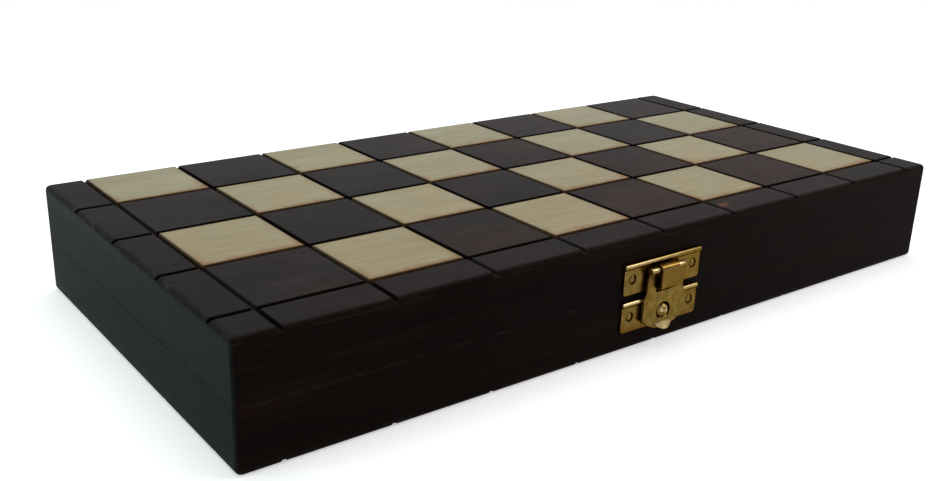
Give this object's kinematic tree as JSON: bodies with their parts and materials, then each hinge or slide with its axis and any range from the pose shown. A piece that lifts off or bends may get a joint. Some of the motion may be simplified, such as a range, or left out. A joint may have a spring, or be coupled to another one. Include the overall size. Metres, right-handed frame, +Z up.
{
  "type": "checkers set",
  "caption": "Folding wooden checkers box with a grooved board on its outer faces, a brass snap latch, back hinges, and round wooden checkers stored on edge inside.",
  "frame": {"origin": "on the surface that the shut box lies on, under the middle of its outline with latch and hinge knuckles", "axes": "+X along the box, +Y from the latch to the hinges, +Z up"},
  "size_m": [0.2944, 0.1534, 0.038],
  "materials": {
    "stained_panel": "dark brown stain under satin lacquer",
    "stained_rail": "near-black brown stain under satin lacquer",
    "light_square": "pale bare wood under satin lacquer",
    "plain_wood": "unfinished pale wood",
    "latch_brass": "stamped and tumbled brass plate",
    "hinge_brass": "rolled brass",
    "brass_wire": "drawn brass",
    "light_checker": "turned pale wood, clear lacquer",
    "dark_checker": "turned wood, dark brown stain and lacquer"
  },
  "bodies": {
    "base": {"base_board": "stained_panel", "base_light_squares": "light_square", "base_front_rail": "stained_rail", "base_back_rail": "stained_rail", "base_left_rail": "stained_rail", "base_right_rail": "stained_rail", "left_slat": "plain_wood", "right_slat": "plain_wood", "front_slat": "plain_wood", "back_slat": "plain_wood", "base_hinge_leaf_left": "hinge_brass", "base_hinge_leaf_right": "hinge_brass", "base_hinge_nails": "brass_wire", "hinge_pin_left": "brass_wire", "hinge_pin_right": "brass_wire", "strike_plate": "latch_brass", "strike_nails": "brass_wire"},
    "lid": {"lid_board": "stained_panel", "lid_light_squares": "light_square", "lid_front_rail": "stained_rail", "lid_back_rail": "stained_rail", "lid_left_rail": "stained_rail", "lid_right_rail": "stained_rail", "lid_hinge_leaf_left": "hinge_brass", "lid_hinge_leaf_right": "hinge_brass", "lid_hinge_nails": "brass_wire", "latch_plate": "latch_brass", "latch_nails": "brass_wire"},
    "hasp": {"hasp": "latch_brass"},
    "light_row": {"light_checker_01": "light_checker", "light_checker_02": "light_checker", "light_checker_03": "light_checker", "light_checker_04": "light_checker", "light_checker_05": "light_checker", "light_checker_06": "light_checker", "light_checker_07": "light_checker", "light_checker_08": "light_checker", "light_checker_09": "light_checker", "light_checker_10": "light_checker", "light_checker_11": "light_checker", "light_checker_12": "light_checker"},
    "dark_row": {"dark_checker_01": "dark_checker", "dark_checker_02": "dark_checker", "dark_checker_03": "dark_checker", "dark_checker_04": "dark_checker", "dark_checker_05": "dark_checker", "dark_checker_06": "dark_checker", "dark_checker_07": "dark_checker", "dark_checker_08": "dark_checker", "dark_checker_09": "dark_checker", "dark_checker_10": "dark_checker", "dark_checker_11": "dark_checker", "dark_checker_12": "dark_checker"}
  },
  "joints": [
    {"name": "lid_hinge", "type": "hinge", "parent": "base", "child": "lid", "pos_m": [0, 0.07484, 0.019], "axis": [-1, 0, 0], "range_deg": [0, 180]},
    {"name": "hasp_hinge", "type": "hinge", "parent": "lid", "child": "hasp", "pos_m": [0, -0.07491, 0.0263], "axis": [-1, 0, 0], "range_deg": [0, 150]},
    {"name": "light_row_slide", "type": "slide", "parent": "base", "child": "light_row", "axis": [1, 0, 0], "range_m": [0, 0.0044]},
    {"name": "dark_row_slide", "type": "slide", "parent": "base", "child": "dark_row", "axis": [1, 0, 0], "range_m": [0, 0.0044]}
  ]
}
